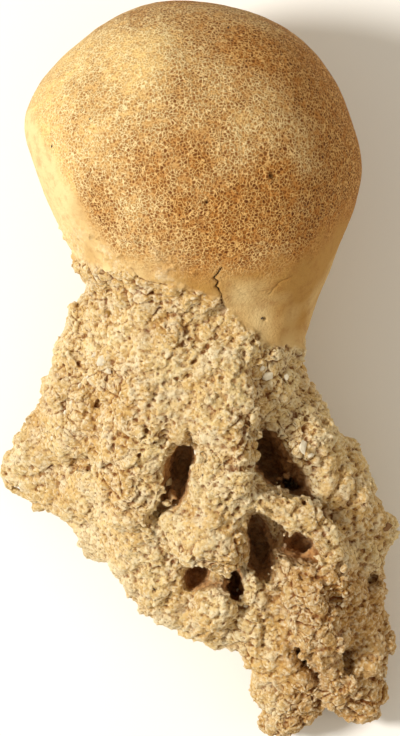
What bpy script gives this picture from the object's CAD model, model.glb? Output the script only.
# %% [markdown]
# # A dried earthball, lying on its back
#
# An earthball is a hard puffball. This one was picked with its rooting base and dried. It has a
# smooth egg-shaped head, whose leathery skin has split into fine red-brown scales, and a bulky
# base of root-like strands that are fused together and crusted with sandy crumbs. The strands
# part here and there, which leaves deep, dark hollows.
#
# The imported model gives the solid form. This file grows the fine surface on that form, in real
# geometry wherever the eye can follow it, and then adds the colours, the light and the camera.

# %% Load the frame
import math

import bmesh
import bpy
import numpy as np
from mathutils import Matrix, Vector
from mathutils.bvhtree import BVHTree
from mathutils.kdtree import KDTree


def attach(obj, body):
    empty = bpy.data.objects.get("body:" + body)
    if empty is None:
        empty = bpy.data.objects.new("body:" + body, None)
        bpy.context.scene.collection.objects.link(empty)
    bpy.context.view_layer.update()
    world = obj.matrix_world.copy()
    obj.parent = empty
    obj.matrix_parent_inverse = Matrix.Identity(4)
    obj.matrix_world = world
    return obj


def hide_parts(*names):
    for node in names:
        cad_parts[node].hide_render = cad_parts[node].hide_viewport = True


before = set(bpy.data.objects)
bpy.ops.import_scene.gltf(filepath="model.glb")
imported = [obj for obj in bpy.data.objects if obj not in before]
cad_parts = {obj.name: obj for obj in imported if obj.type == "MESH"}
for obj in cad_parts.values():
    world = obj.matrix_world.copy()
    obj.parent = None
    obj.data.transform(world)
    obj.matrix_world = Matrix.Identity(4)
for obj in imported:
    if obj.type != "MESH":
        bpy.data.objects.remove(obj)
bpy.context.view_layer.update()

NODE = "earthball"
MM = 0.001

# %% [markdown]
# ## Small helpers
#
# Colours are written as sRGB hex, the way a colour picker shows them. Blender's shaders work in
# linear light, so one function turns the one into the other. A second function adds a shader
# node, sets its values and makes its links, so that a material reads as a short list.

# %% Colours and shader nodes
def linear(hex_colour):
    """An sRGB hex colour as linear RGBA."""
    values = [int(hex_colour[i:i + 2], 16) / 255 for i in (1, 3, 5)]
    return [v / 12.92 if v <= 0.04045 else ((v + 0.055) / 1.055) ** 2.4 for v in values] + [1.0]


def add_node(tree, kind, inputs=None, **settings):
    """Adds a node. An input is a value, or another node's output, which is then linked."""
    node = tree.nodes.new(kind)
    for name, value in settings.items():
        setattr(node, name, value)
    for name, value in (inputs or {}).items():
        if isinstance(value, bpy.types.NodeSocket):
            tree.links.new(value, node.inputs[name])
        else:
            node.inputs[name].default_value = value
    return node


# %% [markdown]
# Most of the work here is on whole meshes at once, so points are read into arrays and written
# back from them. That is hundreds of times faster than a loop over the vertices.

# %% Meshes and arrays
def points_of(obj):
    """Vertex places in millimetres, and their normals."""
    count = len(obj.data.vertices)
    places = np.empty(count * 3, np.float32)
    normals = np.empty(count * 3, np.float32)
    obj.data.vertices.foreach_get("co", places)
    obj.data.vertices.foreach_get("normal", normals)
    return places.reshape(-1, 3) / MM, normals.reshape(-1, 3)


def move_points(obj, places):
    obj.data.vertices.foreach_set("co", (places * MM).astype(np.float32).ravel())
    obj.data.update()


def triangles_of(obj):
    obj.data.calc_loop_triangles()
    corners = np.empty(len(obj.data.loop_triangles) * 3, np.int32)
    obj.data.loop_triangles.foreach_get("vertices", corners)
    return corners.reshape(-1, 3)


def object_from(name, places, triangles):
    """A mesh object from places in millimetres and triangles."""
    mesh = bpy.data.meshes.new(name)
    mesh.vertices.add(len(places))
    mesh.vertices.foreach_set("co", (places * MM).astype(np.float32).ravel())
    mesh.loops.add(len(triangles) * 3)
    mesh.loops.foreach_set("vertex_index", triangles.astype(np.int32).ravel())
    mesh.polygons.add(len(triangles))
    mesh.polygons.foreach_set("loop_start", np.arange(0, len(triangles) * 3, 3, dtype=np.int32))
    mesh.update(calc_edges=True)
    obj = bpy.data.objects.new(name, mesh)
    bpy.context.scene.collection.objects.link(obj)
    return obj


def merged(bodies):
    """Many bodies, each given as places and triangles, as one."""
    starts = np.cumsum([0] + [len(places) for places, _ in bodies[:-1]])
    triangles = [faces + start for (_, faces), start in zip(bodies, starts)]
    return np.concatenate([places for places, _ in bodies]), np.concatenate(triangles)


def make_real(obj):
    """Applies the object's modifiers to its mesh."""
    graph = bpy.context.evaluated_depsgraph_get()
    mesh = bpy.data.meshes.new_from_object(obj.evaluated_get(graph))
    obj.modifiers.clear()
    obj.data = mesh
    return obj


def skin_over(obj, voxel, rounds):
    """One closed skin round all that the object holds, on a grid of voxel mm, then eased."""
    remesh = obj.modifiers.new("Skin", "REMESH")
    remesh.mode = "VOXEL"
    remesh.voxel_size = voxel * MM
    if rounds:
        ease = obj.modifiers.new("Ease", "SMOOTH")
        ease.factor = 0.5
        ease.iterations = rounds
    return make_real(obj)


# %% [markdown]
# ## Two noises
#
# Nature's small forms are uneven, but not just anyhow. Two patterns cover most of them: a soft
# drift, for what wanders slowly, and cells, for what is split or heaped up of small bodies. Both
# are worked out for all points at once. Each takes its pitch in millimetres.

# %% Soft drift and cells
CELL_PRIMES = np.array((73856093, 19349663, 83492791), np.uint32)
MIXERS = ((15, 0x2C1B3C6D), (12, 0x297A2D39))
FAR = 1000.0


def scatter_value(cell, seed):
    """An even random value from 0 to 1 for each whole-numbered cell, the same on every run."""
    mixed = np.full(len(cell), seed * 2654435761 % 2**32, np.uint32)
    for axis, prime in enumerate(CELL_PRIMES):
        mixed ^= cell[:, axis].astype(np.int32).view(np.uint32) * prime
        mixed ^= mixed >> np.uint32(MIXERS[0][0])
        mixed *= np.uint32(MIXERS[0][1])
    mixed ^= mixed >> np.uint32(MIXERS[1][0])
    mixed *= np.uint32(MIXERS[1][1])
    return (mixed >> np.uint32(8)).astype(np.float32) / 2**24


def soft_step(share):
    """The same share from 0 to 1, but with a gentle start and end."""
    return share * share * (3 - 2 * share)


def blended(share, value_at):
    """Blends the values at a cell's eight corners, by each place's share of the way across."""
    total = np.zeros(len(share), np.float32)
    for corner in np.ndindex(2, 2, 2):
        weight = np.prod(np.where(corner, share, 1 - share), axis=1)
        total += weight * value_at(corner)
    return total


def drift(places, pitch, seed):
    """Soft noise from -1 to 1 that changes over about pitch millimetres."""
    scaled = places / pitch
    cell = np.floor(scaled)
    total = blended(soft_step(scaled - cell), lambda corner: scatter_value(cell + corner, seed))
    return total * 2 - 1


def drifts(places, pitch, seed, count):
    """Several drifts side by side, each with a seed of its own."""
    return np.stack([drift(places, pitch, seed + i) for i in range(count)], axis=1)


def cells(places, pitch, seed):
    """Points strewn a pitch apart: how far off the nearest two are, and the nearest's value."""
    scaled = places / pitch
    cell = np.floor(scaled)
    nearest = np.full(len(places), FAR, np.float32)
    second = nearest.copy()
    own = np.zeros(len(places), np.float32)
    for step in np.ndindex(3, 3, 3):
        other = cell + (np.array(step) - 1)
        offsets = [scatter_value(other, seed + axis) for axis in range(3)]
        reach = np.linalg.norm(scaled - other - np.stack(offsets, axis=1), axis=1)
        second = np.minimum(second, np.maximum(reach, nearest))
        own = np.where(reach < nearest, offsets[0], own)
        nearest = np.minimum(nearest, reach)
    return nearest, second, own


# %% [markdown]
# ## Where a pixel of the photograph lies
#
# The camera hangs straight over the object. So a pixel of the photograph and a height over the
# table give a place, and a ray from the camera through the pixel finds what lies there.

# %% The camera's numbers
PICTURE = (400, 736)
MM_PER_PIXEL = 0.15
CAMERA_UP = 420.0
FOCUS_UP = 18.0
CAMERA_OVER = (0.21, 1.31)


def under_pixel(across, down, height):
    """The place, in millimetres, that a pixel shows if it lies at the given height."""
    step = MM_PER_PIXEL * (CAMERA_UP - height) / (CAMERA_UP - FOCUS_UP)
    x = CAMERA_OVER[0] + (across - PICTURE[0] / 2) * step
    y = CAMERA_OVER[1] + (PICTURE[1] / 2 - down) * step
    return np.array((x, y, height))


def seen_at(obj, across, down):
    """The place on the object that a pixel shows, and the way its surface faces."""
    eye = np.array((*CAMERA_OVER, CAMERA_UP))
    ray = under_pixel(across, down, 0.0) - eye
    hit, spot, normal, _ = obj.ray_cast(Vector(eye * MM), Vector(ray).normalized())
    return (np.array(spot) / MM, np.array(normal)) if hit else (None, None)


# %% [markdown]
# ## The form under the crust
#
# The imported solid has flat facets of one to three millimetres. A voxel remesh lays an even, fine
# skin over it, and a few rounds of smoothing take the facets out and keep the form. Everything
# else grows on this.

# %% Ease the solid
FORM_VOXEL = 0.5
FORM_ROUNDS = 8

form = bpy.data.objects.new("form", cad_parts[NODE].data.copy())
bpy.context.scene.collection.objects.link(form)
skin_over(form, FORM_VOXEL, FORM_ROUNDS)
form_places, form_normals = points_of(form)
uncarved = form_places
print("form:", len(form_places), "points")

# %% [markdown]
# ## Head or base?
#
# The crust of the base ends on the head's skin in a ragged line. The same line is used for all
# that follows: 0 on the bare skin and 1 on the crust. The line is given by a few points seen from
# above, in millimetres, and wanders a little.

# %% The edge of the crust
EDGE_X = (-20.3, -16.3, -10.8, -3.3, 3.5, 6.9, 10.2, 15.7)
EDGE_Y = (18.1, 16.5, 14.5, 12.9, 10.9, 6.9, 5.1, 4.7)
EDGE_WIDTH = 1.0
EDGE_WANDERS = ((1.2, 5.0, 11), (0.6, 1.6, 12))    # depth, pitch, seed


def crust_share(places):
    """0 on the head's bare skin and 1 on the crusted base."""
    edge = np.interp(places[:, 0], EDGE_X, EDGE_Y)
    for depth, pitch, seed in EDGE_WANDERS:
        edge = edge + depth * drift(places, pitch, seed)
    return soft_step(np.clip((edge - places[:, 1]) / EDGE_WIDTH + 0.5, 0, 1))


# %% [markdown]
# ## Sink the hollows
#
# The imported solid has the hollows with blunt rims. Here they get steep walls and their true
# outlines, before any crumb is thrown. Each is an ellipse seen from above, and the spots inside
# it sink. A wander in its edge keeps it from looking drilled.

# %% Steepen the hollows
HOLLOWS = (
    # centre from above, half sizes, turn in degrees, depth
    ((-2.6, -13.9), (2.6, 5.8), -14, 4.0), ((-5.9, -19.6), (0.9, 3.8), -33, 3.0),
    ((10.4, -12.4), (3.8, 5.5), 18, 4.6), ((13.9, -16.5), (2.2, 2.0), -30, 6.5),
    ((8.9, -25.2), (2.6, 6.4), 12, 3.8), ((15.6, -25.8), (2.4, 3.3), 40, 2.4),
    ((17.3, -27.4), (0.8, 0.9), 0, 4.0), ((-0.3, -30.1), (3.1, 1.8), 20, 3.0),
    ((5.3, -31.6), (1.1, 4.0), 4, 4.5), ((-17.4, -13.0), (1.1, 2.0), 20, 2.6),
    ((-20.3, -9.6), (0.8, 1.6), 10, 1.4), ((-14.2, -5.2), (0.7, 3.6), 4, 1.8),
    ((16.7, -42.0), (0.9, 4.6), 34, 3.6), ((22.8, -43.0), (1.4, 2.6), 8, 2.0),
    ((25.2, -31.8), (1.1, 2.2), -6, 1.2), ((20.6, -28.5), (0.7, 2.6), 16, 1.8),
    ((20.2, -33.6), (0.8, 4.0), 24, 2.6),
)
HOLLOW_FLOOR = 6.0
HOLLOW_WANDER = 1.1
HOLLOW_PITCH = 2.4
FACES_DOWN = -0.1


def sunk(places, normals):
    """The places again, let down inside each hollow, but never below the hollow's floor."""
    edge = drifts(places, HOLLOW_PITCH, 91, 2) * HOLLOW_WANDER
    edge += drifts(places, 1.1, 93, 2) * HOLLOW_WANDER / 2
    exposed = normals[:, 2] > FACES_DOWN
    sunk_z = places[:, 2].copy()
    for (x, y), (half_x, half_y), turn, depth in HOLLOWS:
        c, s = math.cos(math.radians(turn)), math.sin(math.radians(turn))
        dx, dy = (places[:, :2] + edge - (x, y)).T
        reach = np.hypot((dx * c + dy * s) / half_x, (dy * c - dx * s) / half_y)
        down = depth * np.clip(1 - reach**4, 0, 1)
        sunk_z = np.where(exposed, sunk_z - down, sunk_z)
    floor = np.minimum(places[:, 2], HOLLOW_FLOOR)
    return np.column_stack([places[:, :2], np.maximum(sunk_z, floor)])


move_points(form, sunk(form_places, form_normals))
skin_over(form, FORM_VOXEL, 2)
form_places, form_normals = points_of(form)
form_triangles = triangles_of(form)
form_crust = crust_share(form_places)

# %% [markdown]
# ## How open each spot is
#
# Crumbs lodge most on the open faces, and the sheltered walls of the hollows stay damp and
# brown. So each spot of a coarse copy of the form sends out a few rays, and the share that gets
# away says how open the spot is.

# %% Openness
SHELTER_VOXEL = 1.0
SHELTER_REACH = 14.0
RAYS = 28
RAY_START = 0.6    # millimetres over the surface
RAY_LEAN = 1.02    # a little over one, so that every ray leads outwards

coarse = bpy.data.objects.new("coarse", form.data.copy())
bpy.context.scene.collection.objects.link(coarse)
skin_over(coarse, SHELTER_VOXEL, 2)
coarse_places, coarse_normals = points_of(coarse)
coarse_tree = BVHTree.FromPolygons(
    coarse_places.tolist(), triangles_of(coarse).tolist(), all_triangles=True)


def sphere_spiral(count):
    """Directions spread evenly over a sphere."""
    index = np.arange(count) + 0.5
    up = 1 - 2 * index / count
    turn = index * math.pi * (3 - math.sqrt(5))
    across = np.sqrt(1 - up * up)
    return np.stack([across * np.cos(turn), across * np.sin(turn), up], axis=1)


def openness_of(places, normals, tree):
    """Share of the rays that leave each spot without meeting the form again."""
    spiral = sphere_spiral(RAYS)
    open_share = np.zeros(len(places), np.float32)
    for i, (place, normal) in enumerate(zip(places, normals)):
        start = Vector(place + RAY_START * normal)
        directions = spiral + RAY_LEAN * normal
        free = sum(tree.ray_cast(start, Vector(d), SHELTER_REACH)[0] is None for d in directions)
        open_share[i] = free / RAYS
    return open_share


coarse_open = openness_of(coarse_places, coarse_normals, coarse_tree)
print("openness:", round(float(coarse_open.min()), 2), "to", round(float(coarse_open.max()), 2))

# %% [markdown]
# Finer meshes read their openness from a grid of one-millimetre cells. Cells beside the coarse
# form take the mean of its points, and a few rounds of spreading fill the cells around those.

# %% Openness on a grid
GRID_CELL = 1.0
GRID_MARGIN = 5
SPREADS = 4

grid_low = coarse_places.min(axis=0) - GRID_MARGIN * GRID_CELL
grid_shape = np.ceil((coarse_places.max(axis=0) - grid_low) / GRID_CELL).astype(int) + GRID_MARGIN
sums = np.zeros(grid_shape, np.float32)
counts = np.zeros(grid_shape, np.float32)
at = tuple(np.floor((coarse_places - grid_low) / GRID_CELL).astype(int).T)
np.add.at(sums, at, coarse_open)
np.add.at(counts, at, 1.0)


def summed_round(grid):
    """Each cell's sum with its 26 neighbours."""
    for axis in range(3):
        grid = grid + np.roll(grid, 1, axis) + np.roll(grid, -1, axis)
    return grid


for _ in range(SPREADS):
    wider_sums, wider_counts = summed_round(sums), summed_round(counts)
    empty = (counts == 0) & (wider_counts > 0)
    sums[empty] = wider_sums[empty] / wider_counts[empty]
    counts[empty] = 1.0
open_grid = np.where(counts > 0, sums / np.maximum(counts, 1), 1.0)


def look_up_openness(places):
    """Openness at each place, blended from the grid's cells around it."""
    scaled = (places - grid_low) / GRID_CELL - 0.5
    cell = np.clip(np.floor(scaled).astype(int), 0, np.array(grid_shape) - 2)
    share = np.clip(scaled - cell, 0, 1)
    return blended(share, lambda corner: open_grid[tuple((cell + corner).T)])


form_open = look_up_openness(form_places)

# %% [markdown]
# ## Clods
#
# As the base dried it shrank, and its crust broke into clods two to four millimetres across. The
# cells noise gives exactly this: where the two nearest points are equally far, there is a crack.
# Sheltered walls carry no clods, and are pushed back a little to give the crumbs their room.

# %% Raise the crust and crack it into clods
CRUST_LIFT = 0.20
CRUST_DRIFT = 0.45
WALL_SETBACK = 0.30
WALL_OPENNESS = 0.62    # where a wall begins
WALL_FADE = 0.30        # and how much less open it is where it is all wall
CLODS = (
    # pitch, step between clods, depth of the cracks and their width as a share of the pitch
    (4.6, 0.75, 0.75, 0.14),
    (2.5, 0.55, 0.45, 0.16),
)
CLOD_BEND = 0.3

# Where the crust has worn smooth: centre from above, and radius.
WORN = (((-23.0, -10.0), 6.0), ((-14.0, -27.0), 7.0), ((-19.0, -18.0), 4.0), ((-0.5, -22.5), 3.2))
WORN_DOWN = 0.65


def worn_share(places):
    """One where the crust is smooth and finely pored, and zero where it is all clods."""
    share = np.zeros(len(places), np.float32)
    for centre, radius in WORN:
        reach = np.linalg.norm(places[:, :2] - centre, axis=1) / radius
        share = np.maximum(share, np.exp(-reach**2))
    return share


def clods_at(places):
    """Height of the clods, and how deep in a crack between them each place lies, from 0 to 1."""
    height = np.zeros(len(places), np.float32)
    in_crack = np.zeros(len(places), np.float32)
    for pitch, step, depth, width in CLODS:
        bend = drifts(places, pitch, 30, 3)
        nearest, second, own = cells(places + CLOD_BEND * pitch * bend, pitch, 40)
        here = np.clip(1 - (second - nearest) / width, 0, 1)
        height += step * (own - 0.5) - depth * here
        in_crack = np.maximum(in_crack, here * np.clip(0.3 + 1.4 * own, 0, 1))
    clotted = 1 - WORN_DOWN * worn_share(places)
    return height * clotted, in_crack * clotted


form_height, form_crack = clods_at(form_places)
form_walls = np.clip((WALL_OPENNESS - form_open) / WALL_FADE, 0, 1)
swell = CRUST_LIFT + form_height * (1 - form_walls) + CRUST_DRIFT * drift(form_places, 3.2, 21)
swell -= WALL_SETBACK * form_walls
form_places = form_places + form_normals * (form_crust * swell)[:, None]
move_points(form, form_places)

# %% [markdown]
# ## Crumbs
#
# Sand and dried felt cling to the clods as crumbs, a third of a millimetre to about two
# millimetres across. Each is a small angular flake of its own: a coarse ball whose corners are
# knocked in and out, and which is then pressed flat and turned at random.

# %% Angular lumps
LUMP_ROUGHNESS = 0.22
LUMP_SIDES = (0.35, 1.35)


def lump_shape():
    """A coarse ball of radius one, as places and triangles."""
    shape = bmesh.new()
    bmesh.ops.create_icosphere(shape, subdivisions=1, radius=1.0)
    points = np.array([vertex.co[:] for vertex in shape.verts], np.float32)
    faces = np.array([[vertex.index for vertex in face.verts] for face in shape.faces], np.int32)
    shape.free()
    return points, faces


def turns_at_random(count, throw):
    """Rotation matrices with no favoured direction."""
    w, x, y, z = throw.normal(size=(4, count)) + 1e-9
    length = np.sqrt(w * w + x * x + y * y + z * z)
    w, x, y, z = w / length, x / length, y / length, z / length
    rows = [
        1 - 2 * (y * y + z * z), 2 * (x * y - z * w), 2 * (x * z + y * w),
        2 * (x * y + z * w), 1 - 2 * (x * x + z * z), 2 * (y * z - x * w),
        2 * (x * z - y * w), 2 * (y * z + x * w), 1 - 2 * (x * x + y * y),
    ]
    return np.stack(rows, axis=1).reshape(-1, 3, 3)


def lumps(centres, radii, throw):
    """Small angular bodies at the given places, as places and triangles."""
    points, faces = lump_shape()
    count = len(centres)
    shapes = points[None] * (1 + throw.normal(0, LUMP_ROUGHNESS, (count, len(points), 1)))
    shapes = shapes * throw.uniform(*LUMP_SIDES, (count, 1, 3)) * radii[:, None, None]
    shapes = np.einsum("nij,nkj->nki", turns_at_random(count, throw), shapes)
    shapes = shapes + centres[:, None, :]
    offsets = (np.arange(count) * len(points))[:, None, None]
    return shapes.reshape(-1, 3).astype(np.float32), (faces[None] + offsets).reshape(-1, 3)


# %% [markdown]
# The crumbs are thrown by area. They lie thick on the open faces, thinner in the hollows and where
# the crust has worn, and thin in the cracks. Some have strayed up the left of the neck. Small ones
# stand proud, and big ones are sunk in what they cling to.

# %% Throw the crumbs
THROW = np.random.default_rng(1907)
CRUMB_KINDS = (
    # how many, middle radius, spread of radii, least and most radius, how proud they sit
    (1000, 0.85, 0.25, 0.55, 1.25, -0.50),
    (13000, 0.45, 0.28, 0.28, 0.80, -0.32),
    (24000, 0.22, 0.20, 0.17, 0.34, 0.15),
)
BARE_CRACKS = 0.85
BARE_WORN = 0.9
FRINGE_HEIGHT = 6.5
FRINGE_END = -1.0
FRINGE_FADE = 5
FRINGE_CROWD = 1.4
STRAY_PROUD = 0.3
STRAY_SMALLER = 0.25


def thrown_on(places, normals, triangles, weight, count, throw):
    """Random places on a surface, by area times a weight given at each vertex."""
    corners = places[triangles]
    sides = corners[:, 1] - corners[:, 0], corners[:, 2] - corners[:, 0]
    area = np.linalg.norm(np.cross(*sides), axis=1)
    chance = area * weight[triangles].mean(axis=1)
    pick = throw.choice(len(triangles), count, p=chance / chance.sum())
    share = throw.dirichlet((1, 1, 1), count)[:, :, None]
    return (corners[pick] * share).sum(axis=1), (normals[triangles[pick]] * share).sum(axis=1)


def fringe_share(places):
    """One where crumbs have strayed up the left of the neck, over the edge of the crust."""
    above = np.interp(places[:, 0], EDGE_X, EDGE_Y) + FRINGE_HEIGHT - places[:, 1]
    share = np.clip(above / FRINGE_HEIGHT, 0, 1)
    share = share * np.clip((FRINGE_END - places[:, 0]) / FRINGE_FADE, 0, 1)
    return share * np.clip(0.45 + 1.7 * drift(places, 2.6, 53), 0, 1)


crumb_weight = form_crust * np.clip((form_open - 0.25) / 0.35, 0.75, 1)
crumb_weight *= np.clip(0.75 + 0.7 * drift(form_places, 7.0, 54), 0.35, 1)
crumb_weight *= 1 - BARE_CRACKS * form_crack
crumb_weight = np.maximum(crumb_weight, FRINGE_CROWD * fringe_share(form_places))
form_worn = BARE_WORN * worn_share(form_places)
_, form_normals = points_of(form)
bodies = [(form_places, form_triangles)]
for count, middle, spread, least, most, proud in CRUMB_KINDS:
    weight = crumb_weight * (1 - form_worn * np.clip(2 * middle, 0, 1))
    spots, outward = thrown_on(form_places, form_normals, form_triangles, weight, count, THROW)
    radii = np.exp(THROW.normal(math.log(middle), spread, count)).clip(least, most)
    strayed = 1 - crust_share(spots)
    radii *= (1 + 0.25 * drift(spots, 11.0, 51)) * (1 - STRAY_SMALLER * strayed)
    lift = radii * (proud + STRAY_PROUD * strayed)
    bodies.append(lumps(spots + outward * lift[:, None], radii, THROW))
print("crumbs:", sum(kind[0] for kind in CRUMB_KINDS))

# %% [markdown]
# Bigger lumps hang over the rims of the hollows and make them ragged. They sit at the height that
# the form had there before its hollows were sunk.

# %% Lumps on the rims
RIM_LUMPS = 3.0           # for each millimetre of a hollow's half sizes
RIM_SPREAD = 0.10         # as a share of the hollow's half sizes
RIM_NEAR = 0.7
RIM_DROP = 1.2
RIM_RADII = (0.3, 0.75)

uncarved_tree = KDTree(len(uncarved))
for i, (x, y, z) in enumerate(uncarved.tolist()):
    if z > HOLLOW_FLOOR:
        uncarved_tree.insert((x, y, 0.0), i)
uncarved_tree.balance()
rim = []
for (x, y), (half_x, half_y), turn, _ in HOLLOWS:
    c, s = math.cos(math.radians(turn)), math.sin(math.radians(turn))
    for angle in THROW.uniform(0, 2 * math.pi, int(RIM_LUMPS * (half_x + half_y))):
        reach = THROW.normal(1.0, RIM_SPREAD)
        along, across = half_x * reach * math.cos(angle), half_y * reach * math.sin(angle)
        spot = (x + along * c - across * s, y + along * s + across * c)
        near = uncarved_tree.find_range((*spot, 0.0), RIM_NEAR)
        if near:
            top = max(uncarved[i][2] for _, i, _ in near)
            rim.append((*spot, top - THROW.uniform(0.0, RIM_DROP)))
bodies.append(lumps(np.array(rim), THROW.uniform(*RIM_RADII, len(rim)), THROW))

# %% [markdown]
# A thin strand loops round the tip of the left wing. It is a row of lumps along a path.

# %% The strand at the wing's tip
TIP_STRAND = (
    # pixel across, pixel down, height
    (6, 462, 4.6), (3, 470, 4.2), (4, 479, 3.8), (9, 487, 3.4), (17, 492, 3.2), (27, 496, 3.4),
    (38, 501, 4.0), (48, 505, 5.0),
)
STRAND_LUMPS = 90
STRAND_RADII = (0.38, 0.6)

strand = np.array([under_pixel(*pixel) for pixel in TIP_STRAND])
steps = np.linspace(0, len(strand) - 1, STRAND_LUMPS)
spots = np.column_stack([np.interp(steps, np.arange(len(strand)), line) for line in strand.T])
bodies.append(lumps(spots, THROW.uniform(*STRAND_RADII, STRAND_LUMPS), THROW))
heap = object_from("heap", *merged(bodies))

# %% [markdown]
# ## One body again
#
# A fine voxel skin over the form and all the crumbs makes one closed body of them, with real
# undercuts and crevices.

# %% Fuse the crumbs with the form
SKIN_VOXEL = 0.20

skin_over(heap, SKIN_VOXEL, 0)
places, normals = points_of(heap)
print("fused:", len(places), "points")


def eased(obj, rounds):
    """Where each vertex would be after some rounds of smoothing, and its normal there."""
    copy = bpy.data.objects.new("eased", obj.data)
    bpy.context.scene.collection.objects.link(copy)
    ease = copy.modifiers.new("Ease", "SMOOTH")
    ease.factor = 0.5
    ease.iterations = rounds
    make_real(copy)
    smooth_places, smooth_normals = points_of(copy)
    bpy.data.objects.remove(copy)
    return smooth_places, smooth_normals


# %% [markdown]
# ## Fine relief
#
# The crust breaks into flakes, each a step higher or lower than the next, and the cracks between
# the clods are cut again through the crumbs. The head is smooth to the touch, so the steps of the
# grid are eased off it. But it has shallow dents, is finely wrinkled, and is puckered low on its
# left flank.

# %% Grain on the crust and dents in the head
EASE_ROUNDS = 10
LEAST_CRUST = 0.02
FLAKE_PITCH = 0.80
FLAKE_STEP = 0.14
FLAKE_CRACK = 0.06
FLAKE_CRACK_WIDTH = 0.22
FLAKE_GRAIN = 0.09
CRACK_AGAIN = 0.32
DENTS = ((0.20, 9.0, 63), (0.05, 2.6, 64))      # depth, pitch, seed
PUCKERS = ((0.10, 1.3, 67), (0.06, 0.6, 68))    # the same
WRINKLE = 0.02
WRINKLES_RUN = (1, 2.4, 1)


def layered(places, kinds):
    """Several drifts, one on top of another."""
    return sum(depth * drift(places, pitch, seed) for depth, pitch, seed in kinds)


crust = crust_share(places)
fringe = fringe_share(places)
smooth_places, smooth_normals = eased(heap, EASE_ROUNDS)
places += (smooth_places - places) * (1 - np.maximum(crust, fringe))[:, None]
on_crust = np.flatnonzero(crust > LEAST_CRUST)
crusted = places[on_crust]
nearest, second, own = cells(crusted, FLAKE_PITCH, 66)
in_crack = np.clip(1 - (second - nearest) / FLAKE_CRACK_WIDTH, 0, 1)
flakes = FLAKE_STEP * (own - 0.5) - FLAKE_CRACK * in_crack
flakes += FLAKE_GRAIN * drift(crusted, 0.45, 61)
flakes -= CRACK_AGAIN * clods_at(crusted)[1] * np.clip(0.4 + 1.3 * drift(crusted, 7.0, 69), 0, 1)
relief = np.zeros(len(places), np.float32)
relief[on_crust] = crust[on_crust] * flakes
relief += (1 - crust) * layered(places, DENTS)
relief += (1 - crust) * WRINKLE * drift(places * WRINKLES_RUN, 0.9, 65)
flank = np.clip((-11 - places[:, 0]) / 7, 0, 1) * np.clip((33 - places[:, 1]) / 9, 0, 1)
relief += (1 - crust) * flank * layered(places, PUCKERS)

# %% [markdown]
# Drying split the smooth skin low on the head's right. The one deep crack is jagged, and the
# others are hairlines. Each is a short path seen from above, and the skin sinks towards it.

# %% Cracks, pits and the scar
CRACKS = (
    # points from above, width, depth
    (((3.3, 15.3), (2.8, 14.6), (2.2, 14.0), (2.8, 13.4), (2.4, 12.8), (3.0, 12.4)), 0.20, 0.60),
    (((3.0, 12.4), (3.4, 11.8), (3.2, 11.2), (3.4, 10.4)), 0.17, 0.45),
    (((5.2, 13.0), (5.9, 12.1), (6.8, 11.6)), 0.17, 0.16),
    (((8.2, 12.6), (9.1, 12.2), (10.1, 12.1)), 0.16, 0.14),
    (((10.2, 11.8), (11.6, 13.6), (13.6, 14.4)), 0.16, 0.15),
    (((3.2, 13.9), (5.0, 15.0), (6.4, 16.6)), 0.15, 0.12),
    (((-9.6, 15.4), (-8.6, 14.2), (-7.0, 13.6), (-4.6, 13.2)), 0.20, 0.26),
)
PITS = (
    # place from above, radius, depth
    ((9.6, 8.3), 0.42, 0.40), ((1.2, 24.4), 0.45, 0.55), ((-16.6, 38.5), 0.30, 0.30),
    ((10.0, 28.3), 0.55, 0.60), ((-22.3, 48.4), 0.30, 0.25), ((6.0, 34.0), 0.25, 0.18),
)
PIT_SHARPNESS = 0.7
SCAR = ((9.6, 28.1), 1.15, 0.60)
CRACK_WANDER = 0.16
HEAD_TOP = 15.0


def distance_to_path(flat, path):
    """How far each place lies, seen from above, from a path of straight runs."""
    nearest = np.full(len(flat), FAR, np.float32)
    for start, end in zip(path, path[1:]):
        start, run = np.array(start), np.array(end) - np.array(start)
        along = np.clip((flat - start) @ run / (run @ run), 0, 1)
        nearest = np.minimum(nearest, np.linalg.norm(flat - start - along[:, None] * run, axis=1))
    return nearest


facing_up = (normals[:, 2] > 0.2) & (crust < 0.9) & (places[:, 2] > HEAD_TOP)
head_top = places[facing_up]
carve = np.zeros(len(head_top), np.float32)
wandered = head_top[:, :2] + CRACK_WANDER * drifts(head_top, 0.8, 71, 2)
for path, width, depth in CRACKS:
    carve -= depth * np.clip(1 - distance_to_path(wandered, path) / width, 0, 1)
for (x, y), radius, depth in PITS:
    reach = np.hypot(head_top[:, 0] - x, head_top[:, 1] - y)
    carve -= depth * np.clip(1 - reach / radius, 0, 1) ** PIT_SHARPNESS
(scar_x, scar_y), scar_radius, scar_height = SCAR
reach = np.hypot(head_top[:, 0] - scar_x, head_top[:, 1] - scar_y)
scar = scar_height * np.clip(1 - reach / scar_radius, 0, 1)
carve += scar * (0.6 + 0.8 * drift(head_top, 0.6, 73))
relief[facing_up] += carve
still = places.copy()
places = places + smooth_normals * relief[:, None]
places[:, 2] = places[:, 2].clip(0.0, None)
move_points(heap, places)

# %% [markdown]
# ## What the finishes need to know
#
# Some values go with each vertex, and the finishes read them. Crust says where the crumbly base
# ends. Shelter is one in the depth of a hollow. Cavity is above zero in the fine crevices between
# the crumbs, and below it on their crests: it is how far the spot lies under the same surface
# when that is smoothed. Tan is how far sun and drying have browned the skin. Scaly is one where
# the skin has split into scales, and falls to zero at the neck and on the left flank.

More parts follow.
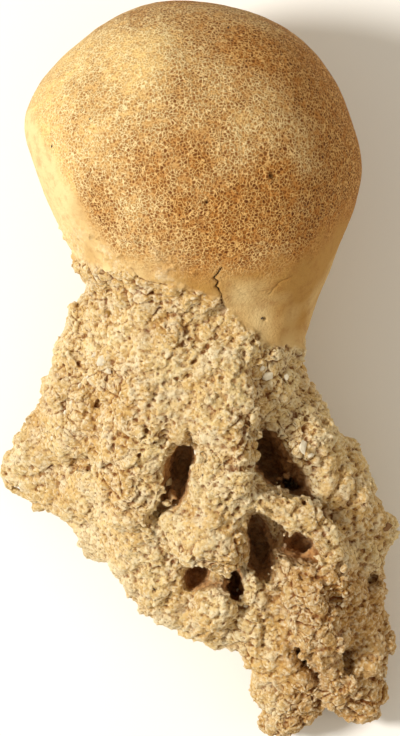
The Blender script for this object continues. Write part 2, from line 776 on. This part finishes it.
# %% Values for the finishes
CAVITY_ROUNDS = ((5, "cavity_fine"), (40, "cavity_wide"))
TAN_SPOTS = (
    # centre of the spot, radius, strength; all in millimetres
    ((18.0, 42.0, 30.0), 13.0, 0.70), ((22.0, 30.0, 26.0), 9.0, 0.40),
    ((15.0, 24.0, 34.0), 9.0, 0.75), ((2.0, 20.5, 40.0), 7.5, 0.40), ((3.2, 24.6, 42.0), 2.0, 0.40),
    ((-4.0, 53.0, 26.0), 9.0, 0.45), ((9.8, 28.2, 42.0), 3.0, 0.60),
    ((9.0, 46.0, 38.0), 6.0, 0.30), ((-3.0, 27.0, 45.0), 9.0, 0.35),
    ((-14.0, 24.0, 38.0), 5.0, 0.25), ((0.0, 34.0, 0.0), 20.0, 0.35),
    ((-19.0, 40.0, 32.0), 12.0, -0.45), ((-22.0, 26.0, 28.0), 9.0, -0.45),
    ((-13.0, -29.0, 12.0), 9.0, -0.50), ((8.0, 13.0, 36.0), 6.0, -0.15),
    ((-10.0, 46.0, 40.0), 8.0, -0.15),
)
SCALES_X = (-26.0, -20.0, -15.0, -12.0, -3.0, 4.0, 14.0, 20.0, 26.0)
SCALES_Y = (41.0, 30.0, 21.5, 18.0, 16.0, 14.8, 17.2, 22.0, 28.0)
SCALES_WANDER = 1.6
SCALES_FADE = 4.0
PUSHES = ("push_x", "push_y", "push_z")
VALUES = {}


def give_value(obj, name, values):
    VALUES[name] = values.astype(np.float32)
    attribute = obj.data.attributes.new(name, "FLOAT", "POINT")
    attribute.data.foreach_set("value", VALUES[name])


places, normals = points_of(heap)
tan = 0.5 + 0.25 * drift(places, 8.0, 81) + 0.2 * drift(places, 3.0, 82)
for centre, radius, strength in TAN_SPOTS:
    reach = np.linalg.norm(places - np.array(centre), axis=1) / radius
    tan += strength * np.exp(-reach * reach)
low_right = 2 * np.clip((places[:, 0] - 8) / 10, 0, 1) * np.clip((-25 - places[:, 1]) / 8, 0, 1)
tan += crust * (0.35 * low_right - 0.1)
give_value(heap, "tan", tan)
scaly = places[:, 1] - np.interp(places[:, 0], SCALES_X, SCALES_Y)
scaly = (scaly + SCALES_WANDER * drift(places, 3.5, 83)) / SCALES_FADE
give_value(heap, "scaly", np.clip(scaly + 0.5, 0, 1))
give_value(heap, "crust", np.maximum(crust, 0.85 * fringe))
give_value(heap, "shelter", 1 - look_up_openness(places))
for axis, name in enumerate(PUSHES):
    give_value(heap, name, (places - still)[:, axis])
for rounds, name in CAVITY_ROUNDS:
    below = ((eased(heap, rounds)[0] - places) * normals).sum(axis=1)
    give_value(heap, name, below)
    print(name, [round(float(v), 3) for v in np.percentile(below[crust > 0.9], (5, 50, 95))])

# %% [markdown]
# ## Cut into pieces
#
# The body has over a million triangles. Blocks cut it into pieces that meet face to face, along
# planes that stay in the crust, where no joint shows. The cut is made before the fine relief is
# applied, and each point carries its own push, so both sides of a cut move alike. Each piece is
# thinned to fewer than 200 000 triangles. Thinning takes them where the skin is flat, so the
# crumbs keep their edges.

# %% Split and thin
PIECES = {
    # lowest and highest, in millimetres along the direction that the cuts are square to
    "earthball_head": (7.6, 90.0),
    "earthball_collar": (-5.0, 7.6),
    "earthball_middle": (-15.5, -5.0),
    "earthball_knobs": (-27.0, -15.5),
    "earthball_legs": (-90.0, -27.0),
}
CUT_TURN = math.radians(-20.0)
CUT_ALONG = np.array((-math.sin(CUT_TURN), math.cos(CUT_TURN), 0.0))
MOST_TRIANGLES = {"earthball_head": 150000}
USUAL_TRIANGLES = 188000
WIDE = 200.0
ON_CUT = 0.002
NEAR_CUT = 0.5


def block(low, high):
    """A wide block that reaches from one cut to the next."""
    shape = bmesh.new()
    bmesh.ops.create_cube(shape, size=1.0)
    bmesh.ops.scale(shape, vec=(WIDE * MM, (high - low) * MM, WIDE * MM), verts=shape.verts)
    bmesh.ops.translate(shape, vec=(0, (low + high) / 2 * MM, 0), verts=shape.verts)
    bmesh.ops.rotate(shape, matrix=Matrix.Rotation(CUT_TURN, 3, "Z"), verts=shape.verts)
    mesh = bpy.data.meshes.new("block")
    shape.to_mesh(mesh)
    shape.free()
    obj = bpy.data.objects.new("block", mesh)
    bpy.context.scene.collection.objects.link(obj)
    return obj


def neighbours_at(height):
    """A tree of the body's points beside a cut, and their numbers."""
    close = np.flatnonzero(np.abs(still @ CUT_ALONG - height) < NEAR_CUT)
    tree = KDTree(len(close))
    for i, place in enumerate(still[close].tolist()):
        tree.insert(place, i)
    tree.balance()
    return tree, close


def mend_cut(piece, heights):
    """Gives the new points on the cuts the values of the body beside them, then moves all."""
    spots, _ = points_of(piece)
    held = {}
    for name in VALUES:
        held[name] = np.empty(len(spots), np.float32)
        piece.data.attributes[name].data.foreach_get("value", held[name])
    on_cut = np.zeros(len(spots), bool)
    for height in heights:
        on_this = np.abs(spots @ CUT_ALONG - height) < ON_CUT
        on_cut |= on_this
        if height in BESIDE_CUT:
            tree, close = BESIDE_CUT[height]
            capped = np.flatnonzero(on_this)
            nearest = close[[tree.find(spots[i].tolist())[1] for i in capped]]
            for name, values in VALUES.items():
                held[name][capped] = values[nearest]
    for name in VALUES:
        piece.data.attributes[name].data.foreach_set("value", held[name])
    push = np.column_stack([held[name] for name in PUSHES])
    move_points(piece, spots + push)
    for name in PUSHES:
        piece.data.attributes.remove(piece.data.attributes[name])
    ends = np.empty(len(piece.data.edges) * 2, np.int32)
    piece.data.edges.foreach_get("vertices", ends)
    sharp = piece.data.attributes.new("sharp_edge", "BOOLEAN", "EDGE")
    sharp.data.foreach_set("value", on_cut[ends.reshape(-1, 2)].all(axis=1))
    group = piece.vertex_groups.new(name="thin_here")
    group.add(np.flatnonzero(~on_cut).tolist(), 1.0, "REPLACE")


def smooth_outside(piece):
    """Smooth shading everywhere, with the caps kept flat by the sharp edges round them."""
    piece.data.polygons.foreach_set("use_smooth", np.ones(len(piece.data.polygons), bool))
    piece.data.update()


def cut_out(name, low, high):
    """The slice of the body from one cut to the next, closed, and thinned to its share."""
    piece = bpy.data.objects.new(name, heap.data)
    bpy.context.scene.collection.objects.link(piece)
    cutter = block(low, high)
    meet = piece.modifiers.new("Meet", "BOOLEAN")
    meet.operation = "INTERSECT"
    meet.solver = "MANIFOLD"
    meet.object = cutter
    piece.modifiers.new("Triangles", "TRIANGULATE")
    make_real(piece)
    bpy.data.objects.remove(cutter)
    mend_cut(piece, (low, high))
    most = MOST_TRIANGLES.get(name, USUAL_TRIANGLES)
    count = len(triangles_of(piece))
    if count > most:
        thin = piece.modifiers.new("Thin", "DECIMATE")
        thin.ratio = most / count
        thin.vertex_group = "thin_here"
        make_real(piece)
    piece.vertex_groups.clear()
    smooth_outside(piece)
    print(name, count, "triangles, kept", len(triangles_of(piece)))
    return piece


move_points(heap, still)
inner_cuts = sorted({height for heights in PIECES.values() for height in heights})[1:-1]
BESIDE_CUT = {height: neighbours_at(height) for height in inner_cuts}
pieces = [cut_out(name, *heights) for name, heights in PIECES.items()]
move_points(heap, places)

# %% [markdown]
# ## The skin and the crust
#
# The head's skin is leathery and dull. As it dried it split into scales about half a millimetre
# across: red-brown islands in a cream net. The base is felt and sand, quite without gloss. Both
# are worked out in one material, because the line between them is ragged and soft in places.

# %% The surface of the fungus
def grown_surface():
    material = bpy.data.materials.new("dried_peridium_and_sandy_felt")
    material.use_nodes = True
    tree = material.node_tree
    tree.nodes.clear()
    place = add_node(tree, "ShaderNodeTexCoord").outputs["Object"]
    crust, shelter, tan, scaly, cavity_fine, cavity_wide = [
        add_node(tree, "ShaderNodeAttribute", attribute_name=name).outputs["Fac"]
        for name in ("crust", "shelter", "tan", "scaly", "cavity_fine", "cavity_wide")
    ]

    def noise(pitch, detail=3.0, rough=0.55):
        return add_node(tree, "ShaderNodeTexNoise", {
            "Vector": place, "Scale": 1 / (pitch * MM), "Detail": detail, "Roughness": rough,
        }).outputs["Fac"]

    def stretch(value, low, high, to_low=0.0, to_high=1.0):
        return add_node(tree, "ShaderNodeMapRange", {
            "Value": value, "From Min": low, "From Max": high, "To Min": to_low, "To Max": to_high,
        }).outputs["Result"]

    def mix(share, first, second, how="MIX"):
        node = add_node(tree, "ShaderNodeMix", data_type="RGBA", blend_type=how)
        for slot, value in ((0, share), (6, first), (7, second)):
            socket = node.inputs[slot]
            if isinstance(value, bpy.types.NodeSocket):
                tree.links.new(value, socket)
            elif isinstance(value, str):
                socket.default_value = linear(value)
            else:
                socket.default_value = value
        return node.outputs[2]

    def times(first, second):
        node = add_node(tree, "ShaderNodeMath", {0: first, 1: second}, operation="MULTIPLY")
        return node.outputs[0]

    # Scales: red-brown pits in a raised cream net, on a skin that sun has browned in places.
    bend = add_node(tree, "ShaderNodeTexNoise", {
        "Vector": place, "Scale": 1 / (0.5 * MM), "Detail": 2.0,
    })
    bent = add_node(tree, "ShaderNodeVectorMath", {
        0: bend.outputs["Color"], 1: (0.5, 0.5, 0.5),
    }, operation="SUBTRACT")
    bent = add_node(tree, "ShaderNodeVectorMath", {
        0: bent.outputs[0], 1: (0.5 * MM,) * 3, 2: place,
    }, operation="MULTIPLY_ADD")
    net = add_node(tree, "ShaderNodeTexVoronoi", {
        "Vector": bent.outputs[0], "Scale": 1 / (0.50 * MM), "Randomness": 1.0,
    }, feature="DISTANCE_TO_EDGE").outputs["Distance"]
    fleck = stretch(noise(0.9, 4.0, 0.7), 0.36, 0.60, 0.3, 1.0)
    broken = stretch(noise(1.1, 3.0, 0.6), 0.40, 0.54, 0.25, 1.0)
    strong = times(scaly, stretch(tan, 0.0, 0.6, 0.5, 1.0))
    ridge = times(stretch(net, 0.15, 0.06), broken)
    skin = mix(stretch(tan, 0.1, 1.0), "#E8C27C", "#B1722C")
    neck = mix(stretch(tan, 0.25, 0.75), "#E2C790", "#B68A48")
    skin = mix(stretch(scaly, 0.75, 0.0), skin, neck)
    skin = mix(times(stretch(noise(1.6, 5.0, 0.7), 0.48, 0.68), 0.4), skin, "#955C28")
    brown = mix(stretch(tan, 0.2, 1.0), "#834413", "#4A1F08")
    skin = mix(times(times(stretch(net, 0.10, 0.27), fleck), times(strong, 0.9)), skin, brown)
    line = mix(stretch(tan, 0.2, 1.0), "#FDEDBB", "#E3B570")
    skin = mix(times(ridge, times(strong, 0.9)), skin, line)
    skin = mix(stretch(cavity_wide, 0.05, 0.3), skin, "#3A2010")

    # Crust: cream felt with ochre and greyish patches, sandy grains, and brown in the crevices.
    felt = mix(stretch(noise(8.0), 0.38, 0.62), "#EFD498", "#DFB873")
    felt = mix(times(stretch(noise(2.4), 0.48, 0.64), 0.6), felt, "#F5E6C2")
    felt = mix(times(stretch(noise(3.1), 0.36, 0.30), 0.35), felt, "#C9B696")
    felt = mix(times(stretch(tan, 0.45, 0.95), 0.6), felt, "#BC863C")
    felt = mix(times(stretch(tan, 0.25, -0.1), 0.7), felt, "#F8E8BE")
    grains = add_node(tree, "ShaderNodeTexVoronoi", {"Vector": place, "Scale": 1 / (0.38 * MM)})
    parted = add_node(tree, "ShaderNodeSeparateColor", {"Color": grains.outputs["Color"]})
    grain = parted.outputs["Red"]
    felt = mix(times(stretch(grain, 0.5, 1.0), 0.5), felt, "#AE7C3C")
    felt = mix(times(stretch(grain, 0.3, 0.0), 0.5), felt, "#FCF0D2")
    felt = mix(times(stretch(cavity_wide, 0.02, 0.26), 0.75), felt, "#985C24")
    felt = mix(times(stretch(cavity_fine, 0.010, 0.065), 0.75), felt, "#733D12")
    felt = mix(times(stretch(cavity_fine, -0.01, -0.06), 0.6), felt, "#FDF0CE")
    damp = mix(stretch(noise(1.3, 4.0, 0.7), 0.40, 0.60), "#8F5A30", "#D09A60")
    felt = mix(times(stretch(shelter, 0.55, 0.74), 0.85), felt, damp)

    colour = mix(crust, skin, felt)
    fine = add_node(tree, "ShaderNodeMath", {
        0: times(ridge, strong), 1: 1.0, 2: noise(0.35, 4.0),
    }, operation="MULTIPLY_ADD").outputs[0]
    coarse_grain = add_node(tree, "ShaderNodeMath", {
        0: noise(0.5, 7.0, 0.75), 1: 2.2, 2: times(grain, 0.8),
    }, operation="MULTIPLY_ADD").outputs[0]
    height = add_node(tree, "ShaderNodeMix", {
        0: crust, 2: fine, 3: coarse_grain,
    }, data_type="FLOAT")
    bump = add_node(tree, "ShaderNodeBump", {
        "Height": height.outputs[0], "Strength": 0.9, "Distance": 0.2 * MM,
    })
    shader = add_node(tree, "ShaderNodeBsdfPrincipled", {
        "Base Color": colour, "Roughness": 0.88, "IOR": 1.45, "Specular IOR Level": 0.25,
        "Normal": bump.outputs["Normal"],
    })
    add_node(tree, "ShaderNodeOutputMaterial", {"Surface": shader.outputs["BSDF"]})
    return material


surface = grown_surface()
for piece in pieces:
    piece.data.materials.clear()
    piece.data.materials.append(surface)
    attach(piece, "root")
    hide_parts(NODE)

# %% [markdown]
# ## Small things caught in the crust
#
# Pale mineral chips, a seed-like grain, a few shards and dark specks stick in the crust and on the
# skin. Each is found through the pixel of the photograph that shows it, and is bedded in what
# lies there.

# %% Chips, grains and shards
CAUGHT = {
    # name: colour, roughness, (pixel across, pixel down, length, width, thickness, turn, tilt) ...
    "mineral_chips": ("#F4E9CE", 0.75, (
        (101, 361, 2.0, 1.2, 0.7, 60, 10), (95, 355, 1.2, 0.8, 0.6, 20, 20),
        (108, 371, 0.9, 0.7, 0.5, 110, 5), (268, 375, 1.6, 1.3, 0.7, 30, 15),
        (286, 377, 1.1, 0.8, 0.6, 80, 10), (303, 447, 2.4, 1.6, 0.7, 60, 10),
        (311, 455, 1.0, 0.7, 0.5, 10, 20), (262, 368, 0.9, 0.7, 0.5, 15, 10),
        (196, 452, 0.9, 0.6, 0.4, 70, 0), (72, 402, 0.9, 0.6, 0.4, 30, 15),
        (80, 386, 1.0, 0.6, 0.5, 60, 10), (66, 412, 0.8, 0.6, 0.4, 50, 20),
        (58, 428, 0.9, 0.5, 0.4, 60, 10), (52, 438, 0.8, 0.5, 0.4, 70, 10),
        (88, 377, 0.8, 0.5, 0.4, 20, 25), (246, 606, 0.8, 0.6, 0.4, 20, 10),
        (238, 590, 0.7, 0.5, 0.4, 90, 10),
    )),
    "pale_shards": ("#EBD9AC", 0.6, (
        (311, 504, 2.6, 0.8, 0.4, -40, 35), (275, 712, 1.8, 0.6, 0.3, 55, 30),
        (168, 482, 2.0, 1.1, 0.6, 10, 15),
    )),
    "seed_grain": ("#A67F3C", 0.4, ((108, 314, 1.3, 0.9, 0.9, 60, 10),)),
    "bark_flake": ("#8C6234", 0.8, ((387, 526, 2.1, 1.1, 0.6, 60, 25),)),
    "dark_specks": ("#3B2A1F", 0.7, (
        (90, 119, 0.30, 0.22, 0.15, 40, 0), (52, 146, 0.50, 0.18, 0.15, 80, 0),
        (228, 28, 0.35, 0.25, 0.2, 20, 0), (74, 84, 0.25, 0.2, 0.15, 0, 0),
        (203, 475, 0.3, 0.25, 0.2, 0, 0), (154, 589, 0.7, 0.3, 0.2, -50, 0),
        (305, 205, 0.25, 0.2, 0.15, 0, 0), (262, 318, 0.45, 0.35, 0.2, 20, 0),
    )),
}
BIT_ROUGHNESS = 0.26
BIT_SHADE = 0.62
BEDDED = 0.25


def bit_at(spot, normal, length, width, thickness, turn, tilt, throw):
    """One angular bit, bedded at a spot of the surface, as places and triangles."""
    up = Vector(normal).lerp(Vector((0, 0, 1)), 0.5).normalized()
    along = Vector((math.cos(math.radians(turn)), math.sin(math.radians(turn)), 0.0))
    along = (along - up * along.dot(up)).normalized()
    side = up.cross(along)
    lean = Matrix.Rotation(math.radians(tilt), 3, side)
    frame_of_bit = np.array([lean @ along, side, lean @ up])
    shape, faces = lump_shape()
    shape = shape * (1 + throw.normal(0, BIT_ROUGHNESS, (len(shape), 1)))
    shape = shape * (length / 2, width / 2, thickness / 2)
    return shape @ frame_of_bit + spot + np.array(up) * thickness * BEDDED, faces


def bits(name, colour, roughness, places_of_bits):
    """All the bits of one kind, as one piece with one finish."""
    found = []
    for across, down, *build in places_of_bits:
        spot, normal = seen_at(heap, across, down)
        if spot is None:
            print(name, "misses the object at", across, down)
            continue
        found.append(bit_at(spot, normal, *build, THROW))
    piece = object_from(name, *merged(found))
    piece.data.polygons.foreach_set("use_smooth", np.zeros(len(piece.data.polygons), bool))
    material = bpy.data.materials.new(name)
    material.use_nodes = True
    tree = material.node_tree
    mottle = add_node(tree, "ShaderNodeTexNoise", {
        "Vector": add_node(tree, "ShaderNodeTexCoord").outputs["Object"],
        "Scale": 1 / (0.5 * MM), "Detail": 4.0,
    })
    shade = add_node(tree, "ShaderNodeMix", {0: mottle.outputs["Fac"]}, data_type="RGBA")
    shade.inputs[6].default_value = [BIT_SHADE * value for value in linear(colour)[:3]] + [1.0]
    shade.inputs[7].default_value = linear(colour)
    shader = tree.nodes["Principled BSDF"]
    tree.links.new(shade.outputs[2], shader.inputs["Base Color"])
    shader.inputs["Roughness"].default_value = roughness
    piece.data.materials.append(material)
    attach(piece, "root")


bpy.context.view_layer.update()
for name, (colour, roughness, places_of_bits) in CAUGHT.items():
    bits(name, colour, roughness, places_of_bits)

for helper in (form, coarse, heap):
    bpy.data.objects.remove(helper)

# %% [markdown]
# ## Table, light and camera
#
# The table is plain and pale. A soft lamp stands to the upper left, as in the photograph. A weak,
# warm one on the right and a pale sky lift its shadows. The camera hangs straight over the object
# and looks down.

# %% Table
TABLE_SIDE = 4.0

bpy.ops.mesh.primitive_plane_add(size=TABLE_SIDE)
table = bpy.context.object
table.name = "table"
table_paint = bpy.data.materials.new("matte_white_card")
table_paint.use_nodes = True
card = table_paint.node_tree.nodes["Principled BSDF"]
card.inputs["Base Color"].default_value = linear("#F8F7F4")
card.inputs["Roughness"].default_value = 0.9
table.data.materials.append(table_paint)

# %% Light
KEY_AT = (-0.43, 0.02, 0.48)
KEY_SIDE = 0.15
KEY_WATTS = 4.3
FILL_AT = (0.40, -0.10, 0.30)
FILL_SIDE = 0.25
FILL_WATTS = 0.32
SKY_STRENGTH = 0.48


def soft_lamp(name, at, side, watts, colour):
    lamp = bpy.data.lights.new(name, "AREA")
    lamp.shape = "DISK"
    lamp.size = side
    lamp.energy = watts
    lamp.color = linear(colour)[:3]
    obj = bpy.data.objects.new(name, lamp)
    obj.location = at
    obj.rotation_euler = Vector(at).to_track_quat("Z", "Y").to_euler()
    bpy.context.scene.collection.objects.link(obj)
    return obj


soft_lamp("key_lamp", KEY_AT, KEY_SIDE, KEY_WATTS, "#FFFBF4")
soft_lamp("fill_lamp", FILL_AT, FILL_SIDE, FILL_WATTS, "#FFE6C0")
sky = bpy.data.worlds.new("pale_sky")
sky.use_nodes = True
sky.node_tree.nodes["Background"].inputs["Color"].default_value = linear("#FBF3E4")
sky.node_tree.nodes["Background"].inputs["Strength"].default_value = SKY_STRENGTH
bpy.context.scene.world = sky
bpy.context.scene.view_settings.view_transform = "Standard"

# %% Camera
SENSOR = 36.0

camera_data = bpy.data.cameras.new("camera")
camera_data.sensor_width = SENSOR
camera_data.lens = SENSOR * (CAMERA_UP - FOCUS_UP) / (PICTURE[1] * MM_PER_PIXEL)
camera_data.clip_start = 0.01
camera = bpy.data.objects.new("camera", camera_data)
camera.location = [value * MM for value in (*CAMERA_OVER, CAMERA_UP)]
bpy.context.scene.collection.objects.link(camera)
bpy.context.scene.camera = camera

# %% Sizes for comparison, and finish
bpy.context.view_layer.update()
